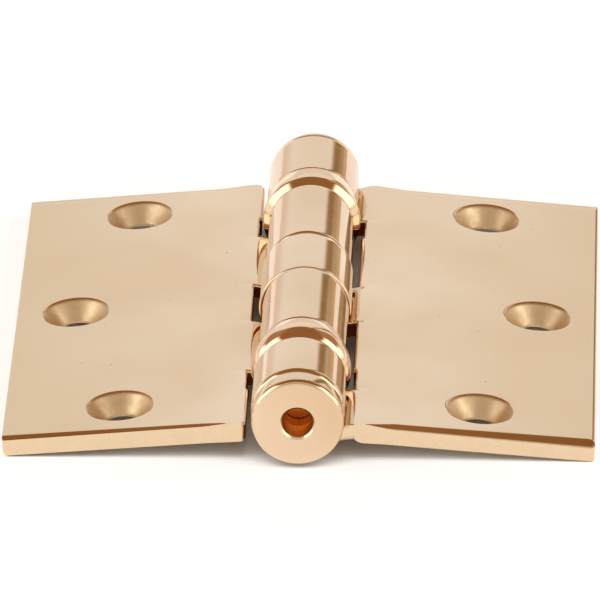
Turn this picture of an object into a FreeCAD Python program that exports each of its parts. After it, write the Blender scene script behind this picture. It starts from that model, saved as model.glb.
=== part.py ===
import FreeCAD, Part
import math
import os

# A full-mortise butt hinge with two ball bearings, lying open on a flat surface.
# Millimetres. The pin axis is the Y axis and +Y is the hinge's top end, where the pin's head is.
# The origin is on the pin axis, halfway up the hinge. +Z is up: the countersunk faces look up, and the
# hinge lies on the two bearings and on the outer edges of its leaves.
#
# Each leaf is designed flat in a leaf frame first: u runs from the pin axis to the leaf's outer edge,
# w is the leaf's thickness direction (countersunk face up), and the pin axis is at u = 0, w = 0.

# Leaf
LEAF_HEIGHT = 88.9            # 3-1/2 in along the pin
LEAF_WIDTH = 44.45            # pin axis to outer edge, half of 3-1/2 in open
LEAF_THICKNESS = 3.12         # 0.123 in
CLOSED_GAP = 1.6              # between the two leaves when the hinge is shut
CORNER_RADIUS = 0.5           # square corners, with the burr broken
BEND_RADIUS = 8.0             # outside of the swage bend that runs from the plate to the barrel
SEAM_GAP = 0.25               # between the end of the curl and the leaf

# Barrel
PIN_DIAMETER = 7.94           # 5/16 in
PIN_FIT = 0.03                # radial clearance of the pin in a knuckle
MIDDLE_KNUCKLE = 12.9         # length of knuckle 3
END_KNUCKLE = 13.0            # length of knuckles 1 and 5
KNUCKLE_GAP = 0.15            # end play where two knuckles meet
BEARING_HEIGHT = 6.35         # 1/4 in left between two knuckles for a bearing
KNUCKLE_ROUND = 0.5           # rounding of a knuckle's ends
NOTCH_CLEARANCE = 1.1         # from a barrel to the other leaf's notch
NOTCH_STEP = 0.4              # by how much that is less beside knuckles 1, 2, 4 and 5

# Screw holes, for No. 10 flat-head screws
HOLE_DIAMETER = 5.5
SINK_DIAMETER = 10.2
SINK_ANGLE = 82.0
END_HOLE_FROM_END = 8.95      # from the leaf's end to the end holes
END_HOLE_FROM_EDGE = 17.35    # from the leaf's outer edge to the end holes
MIDDLE_HOLE_FROM_EDGE = 9.05  # from the leaf's outer edge to the middle hole

# Tips and pin
TIP_INSET = 0.2               # how far the tip and the head lie inside the barrel's surface
TIP_THICKNESS = 3.5
TIP_ROUND = 0.9
TIP_FOOT_ROUND = 0.4
HEAD_THICKNESS = 2.7
HEAD_ROUND = 2.5
HEAD_FOOT_ROUND = 0.15
PLUG_DEPTH = 3.2              # how far the bottom tip's plug goes into its knuckle
PIN_END_GAP = 0.2             # from the plug to the pin's lower end
PIN_POINT = 1.6               # length of the pin's tapered lower end
PIN_POINT_DIAMETER = 5.0
KNOCKOUT_DIAMETER = 4.6
KNOCKOUT_MOUTH = 5.3
HEAD_SEAT = 0.05              # under the pin's head
KNURL_LENGTH = 8.0
KNURL_DEPTH = 0.22
KNURL_TEETH = 30
KNURL_FIT = 0.02              # radial clearance of the knurl's crests

# Bearings, measured along the pin from the cup's flat base
CUP_PROUD = 0.38              # how far the cup's widest part stands out from the barrel
CUP_BASE_INSET = 0.12         # how far its base lies inside the barrel's surface
CUP_WALL = 0.6
CUP_BAND = 1.5                # straight part above the lip, its rounding included
CUP_LIP = 0.6                 # thickness of the rolled-in lip
CUP_ROUND = 1.0               # outside rounding at the lip
LIP_EDGE = 0.05               # flat left at the lip's inner edge
CUP_OPEN = 0.45               # from the lip to the knuckle below
RACE_THICKNESS = 1.7          # upper race
RACE_GAP = 1.3                # between the two races
RACE_PIN_CLEARANCE = 0.18
RACE_CUP_CLEARANCE = 0.3
BALL_DIAMETER = 1.984         # 5/64 in
BALL_FIT = 0.03               # groove's radius over the ball's
BALL_GAP = 0.15               # least space between neighbouring balls

# Worked out from the sizes above
PIN_RADIUS = PIN_DIAMETER / 2
BORE_RADIUS = PIN_RADIUS + PIN_FIT
BARREL_RADIUS = BORE_RADIUS + LEAF_THICKNESS
CUP_RADIUS = BARREL_RADIUS + CUP_PROUD
CUP_BASE_RADIUS = BARREL_RADIUS - CUP_BASE_INSET
CUP_FLARE = BEARING_HEIGHT - CUP_OPEN - CUP_BAND     # height over which the cup widens
CUP_LIP_RADIUS = CUP_RADIUS - CUP_ROUND - LIP_EDGE
RACE_BORE_RADIUS = PIN_RADIUS + RACE_PIN_CLEARANCE
UPPER_RACE_RADIUS = CUP_BASE_RADIUS - CUP_WALL
LOWER_RACE_RADIUS = CUP_LIP_RADIUS - RACE_CUP_CLEARANCE
BALL_CIRCLE_RADIUS = (RACE_BORE_RADIUS + UPPER_RACE_RADIUS) / 2
TIP_RADIUS = BARREL_RADIUS - TIP_INSET
HALF_HEIGHT = LEAF_HEIGHT / 2
FRONT = -CLOSED_GAP / 2                 # w of the countersunk face
BACK = FRONT - LEAF_THICKNESS           # w of the back
NOTCH_EDGE = BARREL_RADIUS + NOTCH_CLEARANCE
BEND_CENTRE_W = BACK - BEND_RADIUS      # the swage bend's centre lies under the leaf
BEND_CENTRE_U = math.sqrt((BARREL_RADIUS + BEND_RADIUS) ** 2 - BEND_CENTRE_W ** 2)
DROOP = math.asin(CUP_RADIUS / math.hypot(LEAF_WIDTH, BACK)) - math.atan2(-BACK, LEAF_WIDTH)

KNUCKLE_3 = (-MIDDLE_KNUCKLE / 2, MIDDLE_KNUCKLE / 2)
KNUCKLE_5 = (HALF_HEIGHT - END_KNUCKLE, HALF_HEIGHT)
KNUCKLE_4 = (KNUCKLE_3[1] + KNUCKLE_GAP, KNUCKLE_5[0] - BEARING_HEIGHT)
KNUCKLE_1 = (-KNUCKLE_5[1], -KNUCKLE_5[0])
KNUCKLE_2 = (-KNUCKLE_4[1], -KNUCKLE_4[0])

Vector = FreeCAD.Vector
ORIGIN = Vector(0, 0, 0)
Y_AXIS = Vector(0, 1, 0)
Z_AXIS = Vector(0, 0, 1)


def along_pin(radius, y_from, y_to):
    """A cylinder on the pin axis."""
    return Part.makeCylinder(radius, y_to - y_from, Vector(0, y_from, 0), Y_AXIS)


def slab(u_from, u_to, y_from, y_to):
    """A piece of the flat plate, in the leaf frame."""
    return Part.makeBox(u_to - u_from, y_to - y_from, LEAF_THICKNESS, Vector(u_from, y_from, BACK))


def prism(edges, y_from, y_to):
    """A solid along the pin, from a closed outline in the u-w plane."""
    face = Part.Face(Part.Wire(edges))
    solid = face.extrude(Vector(0, y_to - y_from, 0))
    solid.translate(Vector(0, y_from, 0))
    return solid


def round_rims(shape, amount, radius, levels):
    """Round the circular edges of one radius that lie at the given places along the pin."""
    rims = []
    for edge in shape.Edges:
        curve = edge.Curve
        if not isinstance(curve, Part.Circle) or abs(curve.Radius - radius) > 1e-6:
            continue
        if any(abs(curve.Center.y - level) < 1e-6 for level in levels):
            rims.append(edge)
    return shape.makeFillet(amount, rims)


def turned(outline):
    """A ring or stud turned about the pin axis, from its (radius, y) corners."""
    corners = [Vector(radius, y, 0) for radius, y in outline]
    face = Part.Face(Part.makePolygon(corners + corners[:1]))
    return face.revolve(ORIGIN, Y_AXIS, 360)


def bend_point(radius, angle):
    """A point at a radius and an angle from the centre of the swage bend."""
    return Vector(BEND_CENTRE_U + radius * math.cos(angle), 0, BEND_CENTRE_W + radius * math.sin(angle))


def bent_strip(inner, outer, angle_from, angle_to):
    """Outline of a strip that follows the swage bend."""
    middle = (angle_from + angle_to) / 2
    near = [bend_point(inner, angle) for angle in (angle_from, middle, angle_to)]
    far = [bend_point(outer, angle) for angle in (angle_to, middle, angle_from)]
    return [
        Part.Arc(*near).toShape(),
        Part.LineSegment(near[-1], far[0]).toShape(),
        Part.Arc(*far).toShape(),
        Part.LineSegment(far[-1], near[0]).toShape(),
    ]


def knuckle(y_from, y_to):
    """One knuckle: the swaged neck, the curl round the pin, and the seam where the curl ends."""
    curl = along_pin(BARREL_RADIUS, y_from, y_to)
    curl = round_rims(curl, KNUCKLE_ROUND, BARREL_RADIUS, (y_from, y_to))
    straight_up = math.pi / 2
    to_pin = math.atan2(-BEND_CENTRE_W, -BEND_CENTRE_U)
    upper = BEND_RADIUS + LEAF_THICKNESS
    neck = prism(bent_strip(BEND_RADIUS, upper, straight_up, to_pin), y_from, y_to)
    seam_start = math.acos((NOTCH_EDGE - BEND_CENTRE_U) / upper)
    seam = prism(bent_strip(upper, upper + SEAM_GAP, seam_start, to_pin), y_from, y_to)
    bore = along_pin(BORE_RADIUS, y_from, y_to)
    return curl.cut(seam).fuse(neck).cut(bore)


def screw_hole(out, height):
    """The cutter for one countersunk screw hole."""
    mouth = Vector(out, height, FRONT)
    hole_radius = HOLE_DIAMETER / 2
    sink_radius = SINK_DIAMETER / 2
    sink_depth = (sink_radius - hole_radius) / math.tan(math.radians(SINK_ANGLE / 2))
    sink = Part.makeCone(sink_radius, hole_radius, sink_depth, mouth, -Z_AXIS)
    through = Part.makeCylinder(hole_radius, 2 * LEAF_THICKNESS, mouth, -Z_AXIS)
    return sink.fuse(through)


def leaf(knuckles, notch_steps):
    """One leaf in the leaf frame: plate, notch edges with their steps, knuckles and screw holes."""
    plate = slab(BEND_CENTRE_U, LEAF_WIDTH, -HALF_HEIGHT, HALF_HEIGHT)
    middle_w = (FRONT + BACK) / 2
    corners = []
    for edge in plate.Edges:
        middle = edge.CenterOfMass
        if abs(middle.x - LEAF_WIDTH) < 1e-6 and abs(middle.y) > 1e-6 and abs(middle.z - middle_w) < 1e-6:
            corners.append(edge)
    shape = plate.makeFillet(CORNER_RADIUS, corners)
    ends = [-HALF_HEIGHT] + [y for span in knuckles for y in span] + [HALF_HEIGHT]
    for y_from, y_to in zip(ends[0::2], ends[1::2]):
        if y_to - y_from > KNUCKLE_GAP:
            shape = shape.fuse(slab(NOTCH_EDGE, BEND_CENTRE_U, y_from, y_to))
            for step_from, step_to in notch_steps:
                if y_from <= step_from and step_to <= y_to:
                    step_from = y_from if step_from - y_from <= KNUCKLE_GAP + 1e-6 else step_from
                    step_to = y_to if y_to - step_to <= KNUCKLE_GAP + 1e-6 else step_to
                    shape = shape.fuse(slab(NOTCH_EDGE - NOTCH_STEP, BEND_CENTRE_U, step_from, step_to))
    for y_from, y_to in knuckles:
        shape = shape.fuse(knuckle(y_from, y_to))
    end_out = LEAF_WIDTH - END_HOLE_FROM_EDGE
    middle_out = LEAF_WIDTH - MIDDLE_HOLE_FROM_EDGE
    end_height = HALF_HEIGHT - END_HOLE_FROM_END
    for out, height in ((end_out, end_height), (middle_out, 0), (end_out, -end_height)):
        shape = shape.cut(screw_hole(out, height))
    return shape.removeSplitter()


def laid_down(shape, turned_round):
    """Bring a leaf from the leaf frame to where it lies, to the +X side or turned round to the -X side."""
    placed = shape.copy()
    side = 1
    if turned_round:
        placed.rotate(ORIGIN, Z_AXIS, 180)
        side = -1
    placed.rotate(ORIGIN, Y_AXIS, side * math.degrees(DROOP))
    return placed


def end_disc(y_foot, y_face, face_round, foot_round):
    """The visible disc at an end of the barrel, from its foot to its face."""
    disc = along_pin(TIP_RADIUS, min(y_foot, y_face), max(y_foot, y_face))
    disc = round_rims(disc, face_round, TIP_RADIUS, (y_face,))
    return round_rims(disc, foot_round, TIP_RADIUS, (y_foot,))


def knurl(y_from, y_to):
    """Straight knurling round the pin's neck, which grips the top knuckle."""
    crest = BORE_RADIUS - KNURL_FIT
    root = crest - KNURL_DEPTH
    points = []
    for step in range(2 * KNURL_TEETH):
        angle = math.pi * step / KNURL_TEETH
        radius = root if step % 2 else crest
        points.append(Vector(radius * math.cos(angle), y_from, radius * math.sin(angle)))
    outline = Part.Face(Part.makePolygon(points + points[:1]))
    return outline.extrude(Vector(0, y_to - y_from, 0))


def hinge_pin():
    """The pin in one piece: tapered lower end, shank, knurled neck and button head."""
    y_end = KNUCKLE_1[0] + PLUG_DEPTH + PIN_END_GAP
    y_head = KNUCKLE_5[1] + HEAD_SEAT
    y_knurl = y_head - KNURL_LENGTH
    neck = BORE_RADIUS - KNURL_FIT - KNURL_DEPTH
    shank = turned([
        (0, y_end),
        (PIN_POINT_DIAMETER / 2, y_end),
        (PIN_RADIUS, y_end + PIN_POINT),
        (PIN_RADIUS, y_knurl),
        (neck, y_knurl),
        (neck, y_head),
        (0, y_head),
    ])
    grip = knurl(y_knurl, y_head - HEAD_SEAT)
    head = end_disc(y_head, y_head + HEAD_THICKNESS, HEAD_ROUND, HEAD_FOOT_ROUND)
    return shank.fuse(grip).fuse(head).removeSplitter()


def bottom_tip():
    """The plug pressed into the bottom knuckle, with the hole for driving the pin out."""
    y_foot = KNUCKLE_1[0]
    y_face = y_foot - TIP_THICKNESS
    disc = end_disc(y_foot, y_face, TIP_ROUND, TIP_FOOT_ROUND)
    plug = disc.fuse(along_pin(BORE_RADIUS, y_foot, y_foot + PLUG_DEPTH))
    hole_radius = KNOCKOUT_DIAMETER / 2
    mouth_radius = KNOCKOUT_MOUTH / 2
    mouth_depth = mouth_radius - hole_radius
    mouth = Part.makeCone(mouth_radius, hole_radius, mouth_depth, Vector(0, y_face, 0), Y_AXIS)
    hole = along_pin(hole_radius, y_face, y_foot + PLUG_DEPTH)
    return plug.cut(mouth).cut(hole).removeSplitter()


def bearing_cup(y_base):
    """The bearing's outer shell: it flares down from its base to a rounded lip, rolled in at the bottom."""
    lip_y = y_base - BEARING_HEIGHT + CUP_OPEN
    cup = turned([
        (RACE_BORE_RADIUS, y_base),
        (CUP_BASE_RADIUS, y_base),
        (CUP_RADIUS, y_base - CUP_FLARE),
        (CUP_RADIUS, lip_y),
        (CUP_LIP_RADIUS, lip_y),
        (CUP_LIP_RADIUS, lip_y + CUP_LIP),
        (CUP_RADIUS - CUP_WALL, lip_y + CUP_LIP),
        (CUP_RADIUS - CUP_WALL, y_base - CUP_FLARE),
        (CUP_BASE_RADIUS - CUP_WALL, y_base - CUP_WALL),
        (RACE_BORE_RADIUS, y_base - CUP_WALL),
    ])
    return round_rims(cup, CUP_ROUND, CUP_RADIUS, (lip_y,))


def bearing(name, y_base):
    """One ball bearing, with its cup's base at y_base and its lower race on the knuckle below."""
    y_upper = y_base - CUP_WALL - RACE_THICKNESS
    y_balls = y_upper - RACE_GAP / 2
    y_lower = y_upper - RACE_GAP
    y_floor = y_base - BEARING_HEIGHT
    groove_radius = BALL_DIAMETER / 2 + BALL_FIT
    groove = Part.makeTorus(BALL_CIRCLE_RADIUS, groove_radius, Vector(0, y_balls, 0), Y_AXIS)
    bore = along_pin(RACE_BORE_RADIUS, y_floor, y_base)
    upper = along_pin(UPPER_RACE_RADIUS, y_upper, y_base - CUP_WALL).cut(bore)
    lower = along_pin(LOWER_RACE_RADIUS, y_floor, y_lower).cut(bore)
    count = int(2 * math.pi * BALL_CIRCLE_RADIUS / (BALL_DIAMETER + BALL_GAP))
    balls = []
    for number in range(count):
        angle = 2 * math.pi * number / count
        across = BALL_CIRCLE_RADIUS * math.cos(angle)
        up = BALL_CIRCLE_RADIUS * math.sin(angle)
        balls.append(Part.makeSphere(BALL_DIAMETER / 2, Vector(across, y_balls, up)))
    return {
        name + "_cup": bearing_cup(y_base),
        name + "_upper_race": upper.cut(groove),
        name + "_lower_race": lower.cut(groove),
        name + "_balls": Part.makeCompound(balls),
    }


def hinge():
    """Every sub-part by its node name."""
    nodes = {
        "three_knuckle_leaf": laid_down(leaf([KNUCKLE_1, KNUCKLE_3, KNUCKLE_5], [KNUCKLE_2, KNUCKLE_4]), False),
        "two_knuckle_leaf": laid_down(leaf([KNUCKLE_2, KNUCKLE_4], [KNUCKLE_1, KNUCKLE_5]), True),
        "hinge_pin": hinge_pin(),
        "bottom_tip": bottom_tip(),
    }
    nodes.update(bearing("lower_bearing", KNUCKLE_2[0]))
    nodes.update(bearing("upper_bearing", KNUCKLE_5[0]))
    return nodes


os.makedirs("parts", exist_ok=True)
for node, shape in hinge().items():
    shape.exportStep("parts/" + node + ".step")
    print(node, "solids", len(shape.Solids), "valid", shape.isValid(), "volume", round(shape.Volume, 2))
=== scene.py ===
# %% [markdown]
# # A polished brass door hinge with two ball bearings
#
# This is a full-mortise butt hinge. Two stamped leaves are rolled into five knuckles round one pin, and two
# small ball bearings carry the door's weight between the knuckles. The hinge lies open, with its countersunk
# faces up. The engineering model is loaded first as a fixed frame: it says where every body is and how it
# moves. Everything made below is the finish on top of it, in metres, in the same place.

# %% Load the frame
import math

import bmesh
import bpy
import numpy as np
from mathutils import Matrix, Vector


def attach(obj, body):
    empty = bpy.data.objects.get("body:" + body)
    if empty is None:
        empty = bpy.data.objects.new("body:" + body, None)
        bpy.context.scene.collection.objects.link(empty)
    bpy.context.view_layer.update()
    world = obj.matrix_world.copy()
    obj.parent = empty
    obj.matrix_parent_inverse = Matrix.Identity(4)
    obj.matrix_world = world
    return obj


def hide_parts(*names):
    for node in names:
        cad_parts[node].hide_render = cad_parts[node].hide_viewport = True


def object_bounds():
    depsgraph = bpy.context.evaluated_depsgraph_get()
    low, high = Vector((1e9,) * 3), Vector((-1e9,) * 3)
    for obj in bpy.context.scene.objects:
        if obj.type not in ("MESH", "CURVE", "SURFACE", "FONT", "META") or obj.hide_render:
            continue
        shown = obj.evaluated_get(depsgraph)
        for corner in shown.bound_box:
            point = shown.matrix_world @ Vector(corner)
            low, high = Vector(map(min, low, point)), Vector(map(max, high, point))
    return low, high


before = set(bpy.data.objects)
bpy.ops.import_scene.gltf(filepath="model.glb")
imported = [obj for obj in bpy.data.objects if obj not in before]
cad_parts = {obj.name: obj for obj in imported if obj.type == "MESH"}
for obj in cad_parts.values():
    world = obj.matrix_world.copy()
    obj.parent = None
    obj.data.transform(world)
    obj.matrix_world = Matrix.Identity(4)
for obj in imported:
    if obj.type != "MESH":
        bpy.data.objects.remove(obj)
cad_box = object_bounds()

MM = 0.001
print("nodes:", sorted(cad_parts))

# %% [markdown]
# ## The view
#
# The hinge is seen from its bottom end, from a little above, through a very long lens, so that its far end is
# hardly smaller than its near end. The camera is placed by an azimuth, an elevation and a distance from the
# middle of the pin, and its three axes are worked out from those angles.

# %% Camera
AZIMUTH = math.radians(1.781)
ELEVATION = math.radians(24.071)
ROLL = math.radians(-0.217)
DISTANCE = 1.7124
AIM_RIGHT = -1.017 * MM
AIM_UP = -1.208 * MM
LENS = 674.8

backward = Vector((
    math.sin(AZIMUTH) * math.cos(ELEVATION),
    -math.cos(AZIMUTH) * math.cos(ELEVATION),
    math.sin(ELEVATION),
))
level_right = Vector((math.cos(AZIMUTH), math.sin(AZIMUTH), 0))
level_up = backward.cross(level_right)
right = level_right * math.cos(ROLL) + level_up * math.sin(ROLL)
up = level_up * math.cos(ROLL) - level_right * math.sin(ROLL)

camera_data = bpy.data.cameras.new("view")
camera_data.lens = LENS
camera_data.clip_end = 20
camera = bpy.data.objects.new("view", camera_data)
place = backward * DISTANCE + right * AIM_RIGHT + up * AIM_UP
camera.matrix_world = Matrix.Translation(place) @ Matrix((right, up, backward)).transposed().to_4x4()
bpy.context.scene.collection.objects.link(camera)
bpy.context.scene.camera = camera
bpy.context.scene.view_settings.view_transform = "Standard"
print("camera at", [round(c, 3) for c in place])

# %% [markdown]
# ## Small tools
#
# Colours are written as the hex values that a painter picks, and turned to the linear numbers that
# light adds up in. One function adds a node to any tree, sets it and links it, so that each material below
# reads as a list of what feeds what.

# %% Colour and node helpers
def linear(hex_colour):
    """An sRGB hex colour as linear red, green, blue and alpha."""
    channels = [int(hex_colour[i:i + 2], 16) / 255 for i in (0, 2, 4)]
    lifted = [c / 12.92 if c <= 0.04045 else ((c + 0.055) / 1.055) ** 2.4 for c in channels]
    return (*lifted, 1.0)


def add(tree, kind, links=None, **settings):
    """Add a node. Settings are its properties; links are its inputs, as values or as other nodes' outputs."""
    node = tree.nodes.new(kind)
    for name, value in settings.items():
        setattr(node, name, value)
    for name, value in (links or {}).items():
        if isinstance(value, bpy.types.NodeSocket):
            tree.links.new(value, node.inputs[name])
        else:
            node.inputs[name].default_value = value
    return node


def calc(tree, operation, *values):
    """One step of arithmetic in a node tree."""
    links = dict(enumerate(values))
    return add(tree, "ShaderNodeMath", links, operation=operation).outputs[0]


def new_material(name):
    """A material with only a surface shader and its output."""
    material = bpy.data.materials.new(name)
    material.use_nodes = True
    tree = material.node_tree
    tree.nodes.clear()
    shader = add(tree, "ShaderNodeBsdfPrincipled")
    add(tree, "ShaderNodeOutputMaterial", {"Surface": shader.outputs[0]})
    return material, tree, shader


def ramp(tree, value, low, high, to_low=0.0, to_high=1.0):
    """Stretch part of a value's range over a new one, and stop at its ends."""
    links = {"Value": value, "From Min": low, "From Max": high, "To Min": to_low, "To Max": to_high}
    return add(tree, "ShaderNodeMapRange", links).outputs["Result"]


def blend(tree, amount, colour_a, colour_b):
    """Mix two colours."""
    node = add(tree, "ShaderNodeMix", data_type="RGBA")
    for number, value in ((0, amount), (6, colour_a), (7, colour_b)):
        if isinstance(value, bpy.types.NodeSocket):
            tree.links.new(value, node.inputs[number])
        else:
            node.inputs[number].default_value = value
    return node.outputs[2]


def new_object(name, mesh):
    """An object at the origin, put in the scene."""
    piece = bpy.data.objects.new(name, mesh)
    bpy.context.scene.collection.objects.link(piece)
    return piece


print("mid grey in linear light:", [round(channel, 3) for channel in linear("808080")])


# %% [markdown]
# ## The studio
#
# Polished metal has no colour of its own to show: it shows the room. The room is a white tent with a warm
# horizon, which the flat faces mirror. Overhead it is brown, so that an edge that is rolled over by fifteen
# degrees or more draws a brown line along the leaf. Two soft lamps on each side, one low and one high, give
# every round shoulder a white crescent on its left and right, and a narrow brown gap beside the backdrop
# draws the stripe along the barrel. The floor is plain white paper that glows a little, as a light table
# does. The glow stops wherever something lies close above it, so the gaps between the leaves and the barrel
# stay dark.

# %% Tent and floor
TENT_LIGHT = 1.0

world = bpy.data.worlds.new("white_tent")
bpy.context.scene.world = world
world.use_nodes = True
sky = world.node_tree
sky.nodes.clear()
direction = add(sky, "ShaderNodeTexCoord").outputs["Generated"]


def soft_patch(centre_azimuth, centre_elevation, half_width, half_height, softness):
    """Where a rectangular patch of the tent is, from 0 to 1. Angles in degrees; azimuth from +Y to +X."""
    across, away, high = add(sky, "ShaderNodeSeparateXYZ", {0: direction}).outputs
    azimuth = calc(sky, "ARCTAN2", across, away)
    across_squared = calc(sky, "MULTIPLY", across, across)
    level = calc(sky, "SQRT", calc(sky, "ADD", across_squared, calc(sky, "MULTIPLY", away, away)))
    elevation = calc(sky, "ARCTAN2", high, level)
    sides = []
    ways = ((azimuth, centre_azimuth, half_width), (elevation, centre_elevation, half_height))
    for value, centre, half in ways:
        gap = calc(sky, "ABSOLUTE", calc(sky, "SUBTRACT", value, math.radians(centre)))
        sides.append(add(sky, "ShaderNodeMapRange", {
            "Value": gap,
            "From Min": math.radians(half + softness),
            "From Max": math.radians(max(half - softness, 0)),
        }, interpolation_type="SMOOTHSTEP").outputs["Result"])
    return calc(sky, "MULTIPLY", *sides)


def over_arc(low, high, softness):
    """Where the tent lies between two angles, counted from the far horizon over the top to the near one."""
    across, away, up_part = add(sky, "ShaderNodeSeparateXYZ", {0: direction}).outputs
    angle = calc(sky, "ARCTAN2", up_part, away)
    middle, half = (low + high) / 2, (high - low) / 2
    gap = calc(sky, "ABSOLUTE", calc(sky, "SUBTRACT", angle, math.radians(middle)))
    return add(sky, "ShaderNodeMapRange", {
        "Value": gap,
        "From Min": math.radians(half + softness),
        "From Max": math.radians(half - softness),
    }, interpolation_type="SMOOTHSTEP").outputs["Result"]


def grey(value):
    """A plain grey of one brightness. Over 1 it is a lamp."""
    return (value, value, value, 1.0)


BROWN_CEILING = (0.33, 0.16, 0.065, 1.0)
BROWN_SIDE = (0.45, 0.26, 0.15, 1.0)
BROWN_GAP = (0.36, 0.23, 0.11, 1.0)
GAP_EDGE = (0.66, 0.48, 0.29, 1.0)
NEAR_TONE = (0.66, 0.55, 0.42, 1.0)
HORIZON = (0.88, 0.77, 0.70, 1.0)
tent = blend(sky, over_arc(-30, 9, 5), grey(0.98), HORIZON)
tent = blend(sky, over_arc(46, 114, 5), tent, BROWN_CEILING)
tent = blend(sky, over_arc(118, 152, 8), tent, NEAR_TONE)
for side in (-1, 1):
    tent = blend(sky, soft_patch(side * 58, 34, 25, 19, 6), tent, BROWN_SIDE)
    tent = blend(sky, soft_patch(side * 108, 31, 28, 17, 5), tent, grey(2.0))
    tent = blend(sky, soft_patch(side * 94, 12, 27, 8, 5), tent, grey(1.9))
tent = blend(sky, soft_patch(24.5, 2, 2.0, 6, 1.5), tent, GAP_EDGE)
tent = blend(sky, soft_patch(20.4, 30, 2.7, 26.5, 1.8), tent, BROWN_GAP)
backdrop = add(sky, "ShaderNodeBackground", {"Color": tent, "Strength": TENT_LIGHT})
add(sky, "ShaderNodeOutputWorld", {"Surface": backdrop.outputs[0]})

FLOOR_SIZE = 6.0
GLOW = 0.6
COVER_REACH = 20 * MM
COVERED = 0.2
OPEN = 0.42
floor_level = cad_box[0][2]
corner = FLOOR_SIZE / 2
floor_mesh = bpy.data.meshes.new("floor")
floor_mesh.from_pydata(
    [(-corner, -corner, floor_level), (corner, -corner, floor_level),
     (corner, corner, floor_level), (-corner, corner, floor_level)],
    [], [(0, 1, 2, 3)])
floor = new_object("floor", floor_mesh)
floor_material, tree, shader = new_material("lit_white_paper")
shader.inputs["Base Color"].default_value = linear("d2d4d6")
shader.inputs["Roughness"].default_value = 0.85
shader.inputs["Specular IOR Level"].default_value = 0.1
shader.inputs["Emission Color"].default_value = (1, 1, 1, 1)
open_above = add(tree, "ShaderNodeAmbientOcclusion", {"Distance": COVER_REACH}, samples=8).outputs["AO"]
tree.links.new(ramp(tree, open_above, COVERED, OPEN, 0.0, GLOW), shader.inputs["Emission Strength"])
floor_mesh.materials.append(floor_material)
print("floor at", floor_level)

# %% [markdown]
# ## Finishes
#
# The leaves, the pin and its tips are brass that was buffed to a mirror and then lacquered. What gives it
# away is small: a trace of buffing lines that run along the leaf, a slight unevenness in the mirror and a
# few dull specks. Bump makes all three, from noise whose scale comes from their real size, because the
# colour of a mirror is the colour of what it shows. The colour is set a little
# deeper towards the outer edges of the leaves.

# %% Polished brass
PER_MM = 1 / MM
LEAF_WIDTH = 44.45
DEEPER_FROM = 14


def bump(tree, height, distance, strength=1.0, under=None):
    """Tilt the surface by a height pattern. The distance is the real height, in metres."""
    links = {"Height": height, "Distance": distance, "Strength": strength}
    if under is not None:
        links["Normal"] = under
    return add(tree, "ShaderNodeBump", links).outputs[0]


def spread_noise(tree, coordinate, size_mm, stretch=(1, 1, 1), detail=2.0, roughness=0.5):
    """Noise with blobs of about one size. A stretch over 1 squeezes them along that axis."""
    scaled = add(tree, "ShaderNodeMapping", {"Vector": coordinate, "Scale": stretch}).outputs[0]
    links = {"Vector": scaled, "Scale": PER_MM / size_mm, "Detail": detail, "Roughness": roughness}
    return add(tree, "ShaderNodeTexNoise", links).outputs["Fac"]


def polished_brass(name, light, deep, buffing, wave, gloss):
    """Buffed and lacquered brass: colours, then the depth of its buffing lines and waves in metres."""
    material, tree, shader = new_material(name)
    place = add(tree, "ShaderNodeTexCoord").outputs["Object"]
    cloud = ramp(tree, spread_noise(tree, place, 26.0, detail=2.0), 0.36, 0.64)
    tint = blend(tree, cloud, linear(light), linear(deep))
    aside = calc(tree, "ABSOLUTE", add(tree, "ShaderNodeSeparateXYZ", {0: place}).outputs[0])
    deeper = ramp(tree, aside, DEEPER_FROM * MM, LEAF_WIDTH * MM, 0.0, 0.85)
    tint = blend(tree, deeper, tint, linear("d9bc97"))
    specks = ramp(tree, spread_noise(tree, place, 0.7, detail=1.0), 0.80, 0.82)
    tree.links.new(blend(tree, specks, tint, linear("b08a5c")), shader.inputs["Base Color"])
    shader.inputs["Metallic"].default_value = 1.0
    haze = ramp(tree, spread_noise(tree, place, 3.0, detail=4.0), 0.3, 0.7, gloss, gloss * 1.7)
    dull = calc(tree, "MAXIMUM", haze, calc(tree, "MULTIPLY", specks, 0.45))
    tree.links.new(dull, shader.inputs["Roughness"])
    lines = spread_noise(tree, place, 0.12, stretch=(1, 0.03, 1), detail=3.0)
    slow = spread_noise(tree, place, 2.2, detail=1.0)
    shape = bump(tree, lines, buffing)
    shape = bump(tree, slow, wave, under=shape)
    shape = bump(tree, specks, -0.02 * MM, under=shape)
    tree.links.new(shape, shader.inputs["Normal"])
    return material


BUFFING = 0.0006 * MM
PLATED_BUFFING = 0.0004 * MM
PLATED_WAVE = 0.004 * MM
BRIGHT_BRASS = polished_brass("buffed_lacquered_brass", "e9cfb1", "dfc19d", BUFFING, 0.0045 * MM, 0.055)
PLATED_BRASS = polished_brass("barrel_plated_brass", "eccfae", "e8c8a4", PLATED_BUFFING, PLATED_WAVE, 0.06)
PALE_PLATED_BRASS = polished_brass(
    "pale_barrel_plated_brass", "ebd2b0", "e5c9a2", PLATED_BUFFING, PLATED_WAVE, 0.06)
print("finishes:", [m.name for m in (BRIGHT_BRASS, PLATED_BRASS, PALE_PLATED_BRASS)])
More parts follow.
